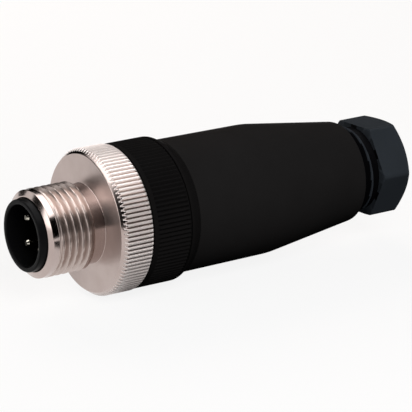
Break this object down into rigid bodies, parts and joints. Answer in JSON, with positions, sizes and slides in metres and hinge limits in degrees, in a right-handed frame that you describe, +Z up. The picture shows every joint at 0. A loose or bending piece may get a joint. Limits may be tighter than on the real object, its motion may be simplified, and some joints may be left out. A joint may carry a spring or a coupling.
{
  "type": "m12 connector",
  "caption": "Straight cable connector with round pins in a keyed cup, a knurled metal screw ring, a knurled grip, a tapered black case and a hexagonal cable gland.",
  "frame": {"origin": "on the connector's axis, where the full M12 outside thread of the screw ring starts", "axes": "+X along the axis from the pins to the cable entry, +Z up through the coding key, +Y completes a right-handed frame"},
  "size_m": [0.0588, 0.02, 0.02],
  "materials": {
    "nickel_brass": "nickel plated, turned and knurled",
    "black_polyamide": "moulded, matt",
    "insert_plastic": "moulded, glossy",
    "plated_contact": "turned brass, bright tin plated",
    "screw_steel": "zinc plated",
    "seal_rubber": "matt rubber",
    "gland_polyamide": "moulded, satin, dark slate"
  },
  "bodies": {
    "connector_body": {"contact_insert": "insert_plastic", "grip_ring": "black_polyamide", "terminal_carrier": "insert_plastic", "contact_1": "plated_contact", "contact_2": "plated_contact", "contact_3": "plated_contact", "contact_4": "plated_contact", "terminal_screw_1": "screw_steel", "terminal_screw_2": "screw_steel", "terminal_screw_3": "screw_steel", "terminal_screw_4": "screw_steel", "neck_seal": "seal_rubber"},
    "screw_ring": {"coupling_nut": "nickel_brass"},
    "housing_seal": {"joint_seal": "seal_rubber"},
    "housing": {"rear_housing": "black_polyamide"},
    "gland_core": {"cable_seal": "seal_rubber", "thrust_washer": "gland_polyamide", "clamping_cage": "gland_polyamide"},
    "gland_screw": {"pressing_screw": "gland_polyamide"}
  },
  "joints": [
    {"name": "screw_ring_turn", "type": "hinge", "parent": "connector_body", "child": "screw_ring", "pos_m": [0.008, 0, 0], "axis": [1, 0, 0], "continuous": true},
    {"name": "housing_seal_slide", "type": "slide", "parent": "connector_body", "child": "housing_seal", "axis": [1, 0, 0], "range_m": [0, 0.004]},
    {"name": "housing_unscrew", "type": "hinge", "parent": "housing_seal", "child": "housing", "pos_m": [0.034, 0, 0], "axis": [1, 0, 0], "range_deg": [-0.2, 1440.2]},
    {"name": "gland_core_slide", "type": "slide", "parent": "housing", "child": "gland_core", "axis": [1, 0, 0], "range_m": [-0.00238, 0.00476]},
    {"name": "gland_screw_turn", "type": "hinge", "parent": "gland_core", "child": "gland_screw", "pos_m": [0.05, 0, 0], "axis": [1, 0, 0], "range_deg": [-675.2, 1350.2]}
  ],
  "couplings": [
    {"joint": "housing_unscrew", "follows": "housing_seal_slide", "rad_per_m": 6283.2},
    {"joint": "gland_screw_turn", "follows": "gland_core_slide", "rad_per_m": 4947.4}
  ]
}
